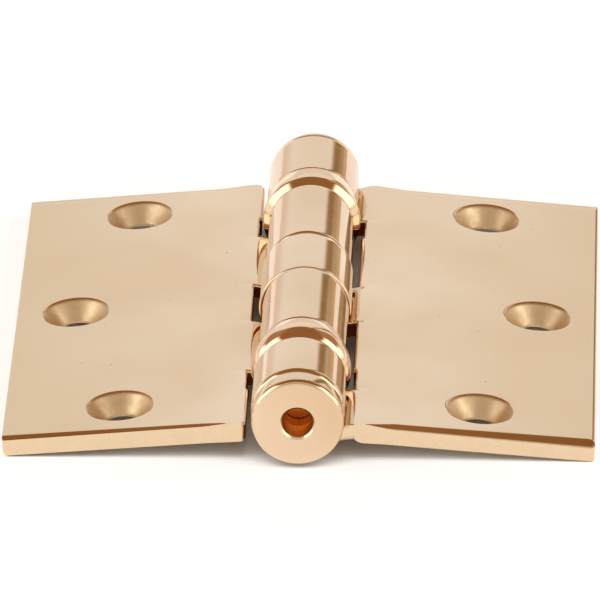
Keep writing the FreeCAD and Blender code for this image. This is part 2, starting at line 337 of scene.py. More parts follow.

# %% [markdown]
# The edges of a leaf were sheared by a die and only touched by the buff, so they are less of a mirror and
# show the die's drag as fine lines through the thickness. The countersinks were cut by a turning tool after
# the buffing, which leaves rings round the hole. The rings are drawn from each piece's own ring attribute,
# which holds the distance down the cone. The bored hole in the tip is painted bright at its mouth, as painted
# light, and dark orange-brown further in, as painted shade. The walls of the notches are left dull and are
# painted dark brown, as painted shade.

# %% Sheared and cut brass
def worked_brass(name, colour, gloss, marks, shade=0.9):
    """Brass that a tool left less bright, or with painted shade or painted light. Marks is a function of the
    tree that gives a height and a depth.
    """
    material, tree, shader = new_material(name)
    place = add(tree, "ShaderNodeTexCoord").outputs["Object"]
    tone = ramp(tree, spread_noise(tree, place, 1.6, detail=3.0), 0.3, 0.7)
    darker = tuple(channel * shade for channel in linear(colour)[:3]) + (1.0,)
    tree.links.new(blend(tree, tone, linear(colour), darker), shader.inputs["Base Color"])
    shader.inputs["Metallic"].default_value = 1.0
    tree.links.new(ramp(tree, tone, 0, 1, gloss, gloss * 1.5), shader.inputs["Roughness"])
    height, depth = marks(tree, place)
    tree.links.new(bump(tree, height, depth), shader.inputs["Normal"])
    return material


def drag_marks(tree, place):
    """Fine upright lines, left where the die dragged past the edge."""
    return spread_noise(tree, place, 0.25, stretch=(1, 1, 0.08), detail=3.0), 0.004 * MM


def turning_marks(tree, place):
    """Rings round a countersink, from the ring attribute, in millimetres down the cone."""
    ring = add(tree, "ShaderNodeAttribute", attribute_name="ring").outputs["Fac"]
    rough = spread_noise(tree, place, 0.6, detail=4.0)
    phase = calc(tree, "ADD", calc(tree, "MULTIPLY", ring, 22.0), calc(tree, "MULTIPLY", rough, 2.2))
    chatter = spread_noise(tree, place, 0.3, stretch=(1, 1, 0.12), detail=2.0)
    return calc(tree, "ADD", calc(tree, "MULTIPLY", calc(tree, "SINE", phase), 0.12), chatter), 0.012 * MM


SHEARED_BRASS = worked_brass("sheared_brass_edge", "e8cfac", 0.2, drag_marks, 0.95)
CUT_BRASS = worked_brass("turned_brass_countersink", "dfc59c", 0.34, turning_marks)
# Painted shade: the hole's wall, and the pin's end deep in it, are painted dark orange-brown for the shade
# inside the hole.
BORED_BRASS_PAINTED_SHADE = worked_brass("bored_brass_hole_painted_shade", "c9813f", 0.2, drag_marks)
# Painted light: the first millimetres of the hole are painted bright yellow for the light that reaches in at
# its mouth.
MOUTH_BRASS_PAINTED_LIGHT = worked_brass("bored_brass_mouth_painted_light", "ffdf9e", 0.24, drag_marks)
# Painted shade: the notch walls are painted dark brown for the shade inside the notches.
NOTCH_PAINTED_SHADE_BRASS = worked_brass("punched_brass_painted_shade", "8a4a2a", 0.3, drag_marks)
print("finishes:", [m.name for m in (SHEARED_BRASS, CUT_BRASS, BORED_BRASS_PAINTED_SHADE, MOUTH_BRASS_PAINTED_LIGHT, NOTCH_PAINTED_SHADE_BRASS)])

# %% [markdown]
# The races and balls inside the bearings are hardened chrome steel. The races are ground, which leaves fine
# rings, and the balls are lapped to a mirror. They show only when the pin is out or from very low down.

# %% Bearing steel
def bearing_steel(name, colour, gloss, grind):
    """Hardened steel, ground or lapped. Grind is the depth of the grinding lines in metres."""
    material, tree, shader = new_material(name)
    place = add(tree, "ShaderNodeTexCoord").outputs["Object"]
    tone = spread_noise(tree, place, 2.5, detail=3.0)
    darker = tuple(channel * 0.8 for channel in linear(colour)[:3]) + (1.0,)
    tree.links.new(blend(tree, tone, linear(colour), darker), shader.inputs["Base Color"])
    shader.inputs["Metallic"].default_value = 1.0
    tree.links.new(ramp(tree, tone, 0.3, 0.7, gloss, gloss * 1.6), shader.inputs["Roughness"])
    rings = spread_noise(tree, place, 0.2, stretch=(0.1, 1, 0.1), detail=2.0)
    tree.links.new(bump(tree, rings, grind), shader.inputs["Normal"])
    return material


GROUND_STEEL = bearing_steel("ground_chrome_steel", "c9cbcc", 0.16, 0.002 * MM)
LAPPED_STEEL = bearing_steel("lapped_chrome_steel", "d6d8da", 0.07, 0.0002 * MM)
print("finishes:", GROUND_STEEL.name, LAPPED_STEEL.name)

# %% [markdown]
# ## Sizes of the hinge
#
# These are the frame's own sizes, in millimetres. Each leaf is thought of as it was made: a flat blank, whose
# barrel edge is bent down by a swage and then curled round the pin. Distance along the blank is s, from zero
# where the bend starts, and the height through its thickness is n, from the back up to the countersunk face.

# %% Sizes
HALF_HEIGHT = 44.45
THICKNESS = 3.12
BEND_RADIUS = 8.0
BARREL_RADIUS = 7.12
BACK_LEVEL = -3.92
CUP_RADIUS = 7.5
BEND_CENTRE_W = BACK_LEVEL - BEND_RADIUS
CENTRE_TO_CENTRE = BARREL_RADIUS + BEND_RADIUS
BEND_CENTRE_U = math.sqrt(CENTRE_TO_CENTRE ** 2 - BEND_CENTRE_W ** 2)
DROOP = math.asin(CUP_RADIUS / math.hypot(LEAF_WIDTH, BACK_LEVEL)) - math.atan2(-BACK_LEVEL, LEAF_WIDTH)
CURL_START = math.atan2(BEND_CENTRE_W, BEND_CENTRE_U)
BEND_ANGLE = math.pi / 2 + CURL_START
SEAM_GAP = 0.25
NOTCH_EDGE = 8.22
NOTCH_STEP = 0.4


def seam_angle(radius):
    """How far short of the full turn the curl's end stops, at a radius, to leave the seam."""
    reach = BEND_RADIUS + THICKNESS + SEAM_GAP
    cosine = (radius ** 2 + CENTRE_TO_CENTRE ** 2 - reach ** 2) / (2 * radius * CENTRE_TO_CENTRE)
    return math.acos(cosine)


S_OUT = BEND_CENTRE_U - LEAF_WIDTH
S_BEND = BEND_RADIUS * BEND_ANGLE
CURL_TURN = 2 * math.pi - seam_angle(BARREL_RADIUS)
S_TIP = S_BEND + BARREL_RADIUS * CURL_TURN
S_NOTCH = BEND_RADIUS * math.asin((BEND_CENTRE_U - NOTCH_EDGE) / (BEND_RADIUS + THICKNESS))
S_STEP = BEND_RADIUS * math.asin((BEND_CENTRE_U - NOTCH_EDGE + NOTCH_STEP) / (BEND_RADIUS + THICKNESS))
print("blank from", round(S_OUT, 2), "to", round(S_TIP, 2), "mm, droop", round(math.degrees(DROOP), 3))

# %% [markdown]
# ## The blank
#
# A blank is a flat plate with notches, holes and edges that the die pulled down a little. It is made as a net
# of straight lines, close together wherever an edge turns over, so that every rounded edge is real shape and
# catches a clean line of light. Round each screw hole a square of the net is left out, and spokes run from
# its rim to the hole.

# %% Net lines
TURN_STEPS = [math.radians(angle) for angle in (0, 12, 24, 36, 48, 60, 75, 90)]
SINK_REACH = 6.3
WIDEST_STEP = 0.62
CURL_STEP = 0.34


def margin(edge, inward, width):
    """Net lines close behind an edge, closest at the edge, where the surface turns over."""
    return [edge + inward * width * (1 - math.cos(angle)) for angle in TURN_STEPS]


def net_lines(edges, others, widest):
    """All the edges, those other lines that keep clear of them, and enough more to fill wide gaps."""
    kept = sorted(set(edges))
    for value in sorted(others):
        if min(abs(value - line) for line in kept) > 0.035 and kept[0] < value < kept[-1]:
            kept.append(value)
            kept.sort()
    filled = [kept[0]]
    for line in kept[1:]:
        gap = line - filled[-1]
        count = math.ceil(gap / widest(line))
        start = filled[-1]
        filled.extend(start + gap * step / count for step in range(1, count + 1))
    return np.array(filled)


def net_step(s):
    """Widest net step along the blank: fine where it curls."""
    return WIDEST_STEP if s < 0.01 else CURL_STEP


print("an edge turns over in", len(TURN_STEPS), "lines")

# %% [markdown]
# Each edge of the blank turns over by its own width and depth, on its front and on its back. The die pulled
# the front down along both ends of the leaf, and the ends of the knuckles were faced and broken with a file.
# A point's height is set by whichever edge pulls it furthest.

# %% Edges
DIE_TILT = 50


class Edge:
    """A straight edge of the blank and how its front and back faces turn over: (width, depth) in mm."""

    def __init__(self, start, stop, front, back, fade=None, steepest=90):
        self.start = np.array(start, float)
        self.stop = np.array(stop, float)
        self.front = front
        self.back = back
        self.fade = fade
        self.reach = math.sin(math.radians(steepest))

    def pull(self, points, roll):
        """How far the surface is pulled in at each point."""
        width, depth = roll
        if width <= 0:
            return np.zeros(len(points))
        run = self.stop - self.start
        along = np.clip((points - self.start) @ run / (run @ run), 0, 1)
        gap = np.linalg.norm(points - self.start - along[:, None] * run, axis=1)
        scale = np.ones(len(points))
        if self.fade is not None:
            scale = np.interp(points[:, 0], *self.fade)
        share = np.clip(1 - gap / np.maximum(width * scale, 1e-6), 0, 1)
        fall = 1 - np.sqrt(np.maximum(1 - (share * self.reach) ** 2, 0))
        return depth * scale * fall / (1 - math.sqrt(max(1 - self.reach ** 2, 0)))


def notch_parts(knuckles, steps):
    """Each stretch of the blank's inner edge between knuckles, as (from, to, distance along the blank)."""
    places = [-HALF_HEIGHT] + [y for span in knuckles for y in span] + [HALF_HEIGHT]
    parts = []
    for low, high in zip(places[0::2], places[1::2]):
        if high - low < 0.01:
            continue
        for step_low, step_high in steps:
            if step_low < low - 0.01 or step_high > high + 0.01:
                continue
            if step_low - low > 0.01:
                parts.append((low, step_low, S_NOTCH))
            parts.append((step_low, step_high, S_STEP))
            low = step_high
        if high - low > 0.01:
            parts.append((low, high, S_NOTCH))
    return parts


def blank_edges(knuckles, steps, ends, outer, rounds):
    """Every edge of a blank. Ends and outer say how the leaf's ends and its long edge turn over, and rounds
    gives the outside rounding of each knuckle end in order."""
    left = list(rounds)
    round_at = {y: left.pop(0) for span in knuckles for y in span}
    notch = ((0.3, 0.3), (0.2, 0.2))
    edges = [Edge((S_OUT, -HALF_HEIGHT), (S_OUT, HALF_HEIGHT), *outer)]
    for side, end in zip((-1, 1), ends):
        y = side * HALF_HEIGHT
        curled = any(abs(y - place) < 0.01 for span in knuckles for place in span)
        edges.append(Edge((S_OUT, y), (S_NOTCH, y), *end, steepest=DIE_TILT))
        if curled:
            edges.append(Edge((S_NOTCH, y), (S_TIP, y), (0.3, 0.3), (round_at[y], round_at[y])))
    for low, high, s_edge in notch_parts(knuckles, steps):
        edges.append(Edge((s_edge, low), (s_edge, high), *notch))
        for y in (low, high):
            if y in round_at:
                edges.append(Edge((s_edge, y), (S_TIP, y), (0.3, 0.3), (round_at[y], round_at[y])))
            elif s_edge == S_STEP and abs(abs(y) - HALF_HEIGHT) > 0.01:
                edges.append(Edge((S_NOTCH, y), (S_STEP, y), *notch))
    for low, high in knuckles:
        edges.append(Edge((S_TIP, low), (S_TIP, high), (0, 0), (0.4, 0.45)))
    return edges


print("the die's edges lean by up to", DIE_TILT, "degrees")

# %% [markdown]
# The net is filled in with faces, front and back, and closed by walls along every edge. Points and faces are
# collected in plain lists first, with each face's finish and each point's place on a turned ring.

# %% Collecting a net
# The last finish, punched, is for the notch walls, whose dark brown is painted shade.
POLISHED, SHEARED, CUT, PUNCHED_PAINTED_SHADE = 0, 1, 2, 3


class Net:
    """Points and faces of a blank as they are collected."""

    def __init__(self):
        self.points = []
        self.faces = []
        self.finish = []
        self.ring = []

    def point(self, s, y, n, ring=0.0):
        """Add a point and give its number."""
        self.points.append((s, y, n))
        self.ring.append(ring)
        return len(self.points) - 1

    def face(self, corners, finish):
        """Add a face, unless two of its corners are the same."""
        if len(set(corners)) == len(corners):
            self.faces.append(corners)
            self.finish.append(finish)


print("finishes of a leaf: polished, sheared, cut, punched")

# %% [markdown]
# The hole is built in rings: the mouth that the countersink's cut turned over, the cone, the plain hole and
# the back. A number 10 screw passes the plain hole, and its head fills the cone.

# %% Screw holes
HOLE_RADIUS = 2.75
SINK_RADIUS = 5.1
SINK_SLOPE = math.tan(math.radians(41))
SINK_DEPTH = (SINK_RADIUS - HOLE_RADIUS) / SINK_SLOPE


def hole_profile():
    """The hole from its mouth to its back, as (radius, depth under the front, finish, ring)."""
    rim = 1.15
    slope = math.radians(49)
    tangent = rim * math.tan(slope / 2)
    steps = []
    for share in np.linspace(0, 1, 9):
        angle = slope * share
        out = SINK_RADIUS + tangent - rim * math.sin(angle)
        steps.append((out, rim * (1 - math.cos(angle)), POLISHED if share < 0.7 else CUT, 0.0))
    start = steps[-1]
    for share in np.linspace(0, 1, 15)[1:]:
        radius = start[0] + (HOLE_RADIUS - start[0]) * share
        depth = start[1] + (SINK_DEPTH - start[1]) * share
        steps.append((radius, depth, CUT, (start[0] - radius) / math.cos(slope)))
    steps.append((HOLE_RADIUS, SINK_DEPTH + 0.05, CUT, 3.6))
    steps.append((HOLE_RADIUS, THICKNESS - 0.08, CUT, 4.0))
    steps.append((HOLE_RADIUS + 0.08, THICKNESS, SHEARED, 0.0))
    return steps


def fill_holes(net, s_lines, y_lines, rims, holes):
    """Spokes from each square opening in the net to its hole, front and back."""
    for s_hole, y_hole in holes:
        low_s, high_s = np.searchsorted(s_lines, [s_hole - SINK_REACH - 1e-6, s_hole + SINK_REACH - 1e-6])
        low_y, high_y = np.searchsorted(y_lines, [y_hole - SINK_REACH - 1e-6, y_hole + SINK_REACH - 1e-6])
        around = [(i, low_y) for i in range(low_s, high_s)] + [(high_s, j) for j in range(low_y, high_y)]
        around += [(i, high_y) for i in range(high_s, low_s, -1)]
        around += [(low_s, j) for j in range(high_y, low_y, -1)]
        count = len(around)
        angles = [math.atan2(y_lines[j] - y_hole, s_lines[i] - s_hole) for i, j in around]
        previous = [rims[0][place] for place in around]
        before = POLISHED
        for radius, depth, finish, ring in hole_profile():
            height = THICKNESS - depth
            row = [net.point(s_hole + radius * math.cos(a), y_hole + radius * math.sin(a), height, ring)
                   for a in angles]
            for k in range(count):
                after = (k + 1) % count
                net.face((previous[k], previous[after], row[after], row[k]), max(before, finish))
            previous, before = row, finish
        last = [rims[1][place] for place in around]
        for k in range(count):
            after = (k + 1) % count
            net.face((previous[k], previous[after], last[after], last[k]), POLISHED)


print("a screw hole has", len(hole_profile()), "rings")

# %% [markdown]
# The leaf's outer corners are a little round, as a shear leaves them. The swage thinned the plate where it
# starts to bend, which shows as a shallow fall beside the barrel, and the punch pulled a dimple into the face
# at each inner corner of a notch. The curl's end is cut on a slant, so that it meets the bend along a seam.

# %% Corners, swage and seam
SWAGE_STEPS = np.linspace(0, 1, 9)[1:]
SWAGE_START = -0.7
SWAGE_RUN = [*(SWAGE_START + 2.3 * SWAGE_STEPS), 2.3, 4.2]
SWAGE_DROP = [*(0.4 * SWAGE_STEPS ** 2), 0.42, 0.0]
DIMPLE_DEPTH = 0.17
DIMPLE_ALONG = 1.15
DIMPLE_ACROSS = 0.9
MOST_CUT = 1.3


def round_corners(flat, s_corner, way, radius):
    """Draw two corners of the blank in to a radius, on its outer side (way -1) or its inner side (way 1)."""
    result = flat.copy()
    for side in (-1, 1):
        outward = way * (flat[:, 0] - s_corner) + radius
        from_centre = np.column_stack((outward, side * flat[:, 1] - HALF_HEIGHT + radius))
        inside = (from_centre > 1e-9).all(axis=1) & (outward < radius + 1e-6)
        square = from_centre[inside]
        rounded = square * (square.max(axis=1) / np.linalg.norm(square, axis=1))[:, None]
        result[inside, 0] = s_corner + way * (rounded[:, 0] - radius)
        result[inside, 1] = side * (rounded[:, 1] + HALF_HEIGHT - radius)
    return result


def slant_tip(points):
    """Carry the curl's end on along the seam, further at the bore than outside, so that it meets the bend."""
    height = np.clip(points[:, 2], 0, THICKNESS)
    radius = BARREL_RADIUS - height
    extra = [BARREL_RADIUS * (seam_angle(BARREL_RADIUS) - seam_angle(r)) for r in radius]
    reach = np.clip((points[:, 0] - S_TIP + 12) / 12, 0, 1)
    points[:, 0] += np.array(extra) * reach ** 2 * (3 - 2 * reach)
    return points


def face_heights(flat, edges, dents):
    """The height of the front and of the back of a blank at each point."""
    front = np.zeros(len(flat))
    back = np.zeros(len(flat))
    for edge in edges:
        front = np.maximum(front, edge.pull(flat, edge.front))
        back = np.maximum(back, edge.pull(flat, edge.back))
    for s_dent, y_dent in dents:
        away = ((flat[:, 0] - s_dent) / DIMPLE_ALONG) ** 2 + ((flat[:, 1] - y_dent) / DIMPLE_ACROSS) ** 2
        front = front + DIMPLE_DEPTH * np.exp(-away)
    swage = np.interp(flat[:, 0], [SWAGE_START, *SWAGE_RUN], [0, *SWAGE_DROP])
    return THICKNESS - np.minimum(front + swage, MOST_CUT), back


print("the swage falls by", max(SWAGE_DROP), "mm")

# %% [markdown]
# The blank is now cut on paper: its lines are drawn, the cells that are metal are marked, the front and back
# are filled in, and walls close every edge. The walls of the notches are marked as punched, which paints them
# dark brown as painted shade, and the outside ones as sheared.

# %% Fill the net
WALL_ROWS = 4
OUTER_CORNER = 0.5


def blank_cells(knuckles, steps, holes, ends, rounds):
    """The lines of a blank's net, which of its cells are metal, and which of those lie clear of a hole."""
    roll_width = max(end[0][0] for end in ends)
    s_fixed = [S_OUT, S_NOTCH, S_STEP, S_TIP, 0.0, S_BEND]
    y_fixed = [-HALF_HEIGHT, HALF_HEIGHT] + [y for span in knuckles + steps for y in span]
    s_more = margin(S_OUT, 1, 1.2) + margin(S_NOTCH, -1, 0.5)
    s_more += margin(S_STEP, -1, 0.35) + margin(S_TIP, -1, 0.5)
    y_more = [side * y for side in (-1, 1) for y in np.linspace(HALF_HEIGHT - roll_width, HALF_HEIGHT, 12)]
    for number, (low, high) in enumerate(knuckles):
        y_more += margin(low, 1, rounds[2 * number]) + margin(high, -1, rounds[2 * number + 1])
        y_more += margin(low, -1, 0.5) + margin(high, 1, 0.5)
    for s_hole, y_hole in holes:
        s_fixed += [s_hole - SINK_REACH, s_hole + SINK_REACH]
        y_fixed += [y_hole - SINK_REACH, y_hole + SINK_REACH]
    s_lines = net_lines([round(s, 9) for s in s_fixed], s_more, net_step)
    y_lines = net_lines([round(y, 9) for y in y_fixed], y_more, lambda y: WIDEST_STEP)
    middle_s = (s_lines[1:] + s_lines[:-1]) / 2
    middle_y = (y_lines[1:] + y_lines[:-1]) / 2
    solid = np.zeros((len(middle_s), len(middle_y)), bool)
    solid[middle_s < S_NOTCH, :] = True
    for low, high in steps:
        solid[np.ix_(middle_s < S_STEP, (middle_y > low) & (middle_y < high))] = True
    for low, high in knuckles:
        solid[:, (middle_y > low) & (middle_y < high)] = True
    cells = solid.copy()
    for s_hole, y_hole in holes:
        inside_s = abs(middle_s - s_hole) < SINK_REACH
        inside_y = abs(middle_y - y_hole) < SINK_REACH
        cells[np.ix_(inside_s, inside_y)] = False
    return s_lines, y_lines, solid, cells


def blank_net(knuckles, steps, holes, ends, outer, rounds, dents, inner_corner=0.0):
    """The points, faces, finishes and rings of one blank."""
    s_lines, y_lines, solid, cells = blank_cells(knuckles, steps, holes, ends, rounds)
    used = np.zeros((len(s_lines), len(y_lines)), bool)
    for di in (0, 1):
        for dj in (0, 1):
            used[di:di + cells.shape[0], dj:dj + cells.shape[1]] |= cells
    places = np.argwhere(used)
    flat = np.column_stack((s_lines[places[:, 0]], y_lines[places[:, 1]]))
    front, back = face_heights(flat, blank_edges(knuckles, steps, ends, outer, rounds), dents)
    flat = round_corners(flat, S_OUT, -1, OUTER_CORNER)
    if inner_corner > 0:
        flat = round_corners(flat, S_STEP, 1, inner_corner)

    net = Net()
    rims = ({}, {})
    for number, (i, j) in enumerate(places):
        rims[0][(i, j)] = net.point(*flat[number], front[number])
    for number, (i, j) in enumerate(places):
        rims[1][(i, j)] = net.point(*flat[number], back[number])
    for i, j in np.argwhere(cells):
        around = ((i, j), (i + 1, j), (i + 1, j + 1), (i, j + 1))
        for rim in rims:
            net.face(tuple(rim[place] for place in around), POLISHED)
    close_walls(net, s_lines, y_lines, rims, solid)
    fill_holes(net, s_lines, y_lines, rims, holes)
    return net


def close_walls(net, s_lines, y_lines, rims, solid):
    """Walls through the thickness, wherever a metal cell has no neighbour."""
    columns = {}

    def column(place):
        """The points through the thickness at one place on an edge."""
        if place not in columns:
            top = net.points[rims[0][place]]
            foot = net.points[rims[1][place]]
            between = []
            for row in range(1, WALL_ROWS):
                share = row / WALL_ROWS
                between.append(net.point(top[0], top[1], top[2] + (foot[2] - top[2]) * share))
            columns[place] = [rims[0][place], *between, rims[1][place]]
        return columns[place]

    padded = np.pad(solid, 1)
    for i, j in np.argwhere(solid):
        sides = (
            ((i - 1, j), (i, j), (i, j + 1)),
            ((i + 1, j), (i + 1, j), (i + 1, j + 1)),
            ((i, j - 1), (i, j), (i + 1, j)),
            ((i, j + 1), (i, j + 1), (i + 1, j + 1)),
        )
        for (next_i, next_j), first, second in sides:
            if padded[next_i + 1, next_j + 1]:
                continue
            left, right_side = column(first), column(second)
            outside = abs(y_lines[first[1]] + y_lines[second[1]]) > 2 * HALF_HEIGHT - 0.01
            outside = outside or s_lines[first[0]] + s_lines[second[0]] < 2 * S_OUT + 0.01
            for row in range(WALL_ROWS):
                corners = (left[row], left[row + 1], right_side[row + 1], right_side[row])
                # Notch walls take the punched finish, which is dark brown painted shade.
                net.face(corners, SHEARED if outside else PUNCHED_PAINTED_SHADE)


def blank_object(name, net):
    """Make the blank a mesh, in metres, with its finish and ring kept as attributes."""
    points = slant_tip(np.array(net.points))
    mesh = bpy.data.meshes.new(name)
    mesh.from_pydata((points * MM).tolist(), [], net.faces)
    mesh.attributes.new("finish", "INT", "FACE").data.foreach_set("value", net.finish)
    mesh.attributes.new("ring", "FLOAT", "POINT").data.foreach_set("value", net.ring)
    return new_object(name, mesh)


print("walls have", WALL_ROWS, "rows")

# %% [markdown]
# ## Rolling a leaf
#
# The roll follows a rule, so Geometry Nodes do it: straight plate, then the swage bend, then the curl round
# the pin, and last the leaf lies down at its slope. The curl closes in slightly towards its end, as a real
# one does, which is why neighbouring knuckles don't quite line up. The same tree rolls both leaves: the left
# one is only turned half round.

# %% Rolling tree
def socket_in(tree, name, value):
    """A named number input of a node tree."""
    socket = tree.interface.new_socket(name=name, in_out="INPUT", socket_type="NodeSocketFloat")
    socket.default_value = value
    return socket.identifier


def rolling_tree():
    """The tree that bends a flat blank into a leaf. It gives the tree and its inputs' identifiers."""
    tree = bpy.data.node_groups.new("roll_leaf", "GeometryNodeTree")
    tree.interface.new_socket(name="Blank", in_out="INPUT", socket_type="NodeSocketGeometry")
    sizes = {
        "Bend Radius": BEND_RADIUS * MM,
        "Barrel Radius": BARREL_RADIUS * MM,
        "Thickness": THICKNESS * MM,
        "Bend Centre Out": BEND_CENTRE_U * MM,
        "Bend Centre Up": BEND_CENTRE_W * MM,
        "Bend Angle": BEND_ANGLE,
        "Curl Start": CURL_START,
        "Curl Turn": CURL_TURN,
        "Closing In": 0.0,
        "Oval": 0.0,
        "Droop": DROOP,
        "Side": 1.0,
    }
    names = {name: socket_in(tree, name, value) for name, value in sizes.items()}
    tree.interface.new_socket(name="Leaf", in_out="OUTPUT", socket_type="NodeSocketGeometry")
    given = add(tree, "NodeGroupInput").outputs
    position = add(tree, "GeometryNodeInputPosition").outputs[0]
    along, width, height = add(tree, "ShaderNodeSeparateXYZ", {0: position}).outputs

    def size(name):
        return given[name]

    bend_end = calc(tree, "MULTIPLY", size("Bend Radius"), size("Bend Angle"))
    straight = calc(tree, "MINIMUM", along, 0.0)
    bent = calc(tree, "MAXIMUM", calc(tree, "MINIMUM", along, bend_end), 0.0)
    bend_way = calc(tree, "ADD", calc(tree, "DIVIDE", bent, size("Bend Radius")), math.pi / 2)
    bend_reach = calc(tree, "ADD", size("Bend Radius"), height)
    bend_out = calc(tree, "MULTIPLY", bend_reach, calc(tree, "COSINE", bend_way))
    bend_out = calc(tree, "SUBTRACT", calc(tree, "ADD", bend_out, size("Bend Centre Out")), straight)
    bend_up = calc(tree, "MULTIPLY", bend_reach, calc(tree, "SINE", bend_way))
    bend_up = calc(tree, "ADD", bend_up, size("Bend Centre Up"))

    curled = calc(tree, "MAXIMUM", calc(tree, "SUBTRACT", along, bend_end), 0.0)
    turn = calc(tree, "DIVIDE", curled, size("Barrel Radius"))
    share = calc(tree, "MINIMUM", calc(tree, "DIVIDE", turn, size("Curl Turn")), 1.0)
    closing = calc(tree, "MULTIPLY", calc(tree, "POWER", share, 1.5), size("Closing In"))
    curl_way = calc(tree, "SUBTRACT", size("Curl Start"), turn)
    sideways = calc(tree, "POWER", calc(tree, "ABSOLUTE", calc(tree, "COSINE", curl_way)), 2.0)
    grown = calc(tree, "MULTIPLY", sideways, calc(tree, "MINIMUM", turn, 1.0))
    flatter = calc(tree, "MULTIPLY", grown, size("Oval"))
    closing = calc(tree, "ADD", closing, flatter)
    outside = calc(tree, "SUBTRACT", 1.0, calc(tree, "DIVIDE", height, size("Thickness")))
    closing = calc(tree, "MULTIPLY", closing, outside)
    curl_reach = calc(tree, "SUBTRACT", calc(tree, "SUBTRACT", size("Barrel Radius"), height), closing)
    curl_out = calc(tree, "MULTIPLY", curl_reach, calc(tree, "COSINE", curl_way))
    curl_up = calc(tree, "MULTIPLY", curl_reach, calc(tree, "SINE", curl_way))

    past_bend = calc(tree, "GREATER_THAN", along, bend_end)
    out = add(tree, "ShaderNodeMix", {"Factor": past_bend, "A": bend_out, "B": curl_out}).outputs[0]
    upward = add(tree, "ShaderNodeMix", {"Factor": past_bend, "A": bend_up, "B": curl_up}).outputs[0]
    cosine = calc(tree, "COSINE", size("Droop"))
    sine = calc(tree, "SINE", size("Droop"))
    across = calc(tree, "ADD", calc(tree, "MULTIPLY", out, cosine), calc(tree, "MULTIPLY", upward, sine))
    level = calc(tree, "SUBTRACT", calc(tree, "MULTIPLY", upward, cosine), calc(tree, "MULTIPLY", out, sine))
    placed = add(tree, "ShaderNodeCombineXYZ", {
        "X": calc(tree, "MULTIPLY", across, size("Side")),
        "Y": calc(tree, "MULTIPLY", width, size("Side")),
        "Z": level,
    }).outputs[0]
    shape = add(tree, "GeometryNodeSetPosition", {"Geometry": given["Blank"], "Position": placed}).outputs[0]
    shape = add(tree, "GeometryNodeRealizeInstances", {"Geometry": shape}).outputs[0]
    finish = add(tree, "GeometryNodeInputNamedAttribute", {"Name": "finish"}, data_type="INT").outputs[0]
    # The last finish paints the notch walls dark brown, as painted shade.
    finishes = (BRIGHT_BRASS, SHEARED_BRASS, CUT_BRASS, NOTCH_PAINTED_SHADE_BRASS)
    for number, material in enumerate(finishes):
        chosen = add(tree, "FunctionNodeCompare", {2: finish, 3: number}, data_type="INT", operation="EQUAL")
        links = {"Geometry": shape, "Selection": chosen.outputs[0], "Material": material}
        shape = add(tree, "GeometryNodeSetMaterial", links).outputs[0]
    tree.links.new(shape, add(tree, "NodeGroupOutput").inputs[0])
    return tree, names


ROLL, ROLL_SIZES = rolling_tree()
print("rolling tree:", len(ROLL.nodes), "nodes, inputs:", sorted(ROLL_SIZES))


# %% [markdown]
# A tree's result is kept as a plain mesh at the origin, and the blank it came from is thrown away, so that a
# finished piece carries no modifier. Welding it then shows whether any edge was left open.

# %% Plain meshes
WELD = 0.002 * MM
CREASE = math.radians(32)


def worked_by(source, tree, values, name):
    """Run a node tree on an object and give the result as a new plain object at the origin."""
    modifier = source.modifiers.new("work", "NODES")
    modifier.node_group = tree
    for identifier, value in values.items():
        modifier[identifier] = value
    depsgraph = bpy.context.evaluated_depsgraph_get()
    mesh = bpy.data.meshes.new_from_object(source.evaluated_get(depsgraph))
    source.modifiers.clear()
    bpy.data.objects.remove(source)
    mesh.name = name
    return new_object(name, mesh)


def tidy_mesh(mesh):
    """Weld the mesh, turn its faces outwards and smooth it, apart from its real edges."""
    work = bmesh.new()
    work.from_mesh(mesh)
    bmesh.ops.remove_doubles(work, verts=work.verts, dist=WELD)
    bmesh.ops.recalc_face_normals(work, faces=work.faces)
    loose = sum(not edge.is_manifold for edge in work.edges)
    work.to_mesh(mesh)
    work.free()
    mesh.shade_smooth()
    mesh.set_sharp_from_angle(angle=CREASE)
    return loose


print("points closer than", WELD, "m are welded")

# %% [markdown]
# ## The two leaves
#
# The right leaf carries knuckles 1, 3 and 5 and the left one carries 2 and 4. Their ends were sheared from
# the countersunk side, so they turn over at the front. The right leaf's long edge is broken a little in
# front, while the left one is crisp there and round underneath. The left leaf is rolled the same way and then
# turned half round, so its places along the pin are written turned round too. A notch is cut a little less
# deep beside the other leaf's knuckles.

# %% Leaves
KNUCKLE_SPANS = {1: (-44.45, -31.45), 2: (-25.1, -6.6), 3: (-6.45, 6.45), 4: (6.6, 25.1), 5: (31.45, 44.45)}
HOLES = [(BEND_CENTRE_U - 27.1, -35.5), (BEND_CENTRE_U - 35.4, 0.0), (BEND_CENTRE_U - 27.1, 35.5)]
END_FADE = ([S_OUT, S_OUT + 10, -5.0, -0.8], [1.15, 1.0, 0.75, 0.0])
FAR_ROLL = ((2.8, 0.4), (0.15, 0.15), END_FADE)

right_net = blank_net(
    [KNUCKLE_SPANS[1], KNUCKLE_SPANS[3], KNUCKLE_SPANS[5]],
    [(KNUCKLE_SPANS[2][0], KNUCKLE_SPANS[3][0]), (KNUCKLE_SPANS[3][1], KNUCKLE_SPANS[4][1])],
    HOLES,
    ends=(((1.75, 0.8), (0.15, 0.15), END_FADE), FAR_ROLL),
    outer=((1.0, 0.5), (0.15, 0.15)),
    rounds=[1.3, 1.0, 0.3, 0.45, 0.3, 0.8],
    dents=[(S_NOTCH - 0.3, y) for y in (-31.2, -6.2, 6.7, 31.7)],
)
three_knuckles = worked_by(
    blank_object("right_blank", right_net),
    ROLL,
    {ROLL_SIZES["Closing In"]: 0.15 * MM},
    "leaf_with_three_knuckles",
)
print("right leaf open edges:", tidy_mesh(three_knuckles.data), "faces:", len(three_knuckles.data.polygons))

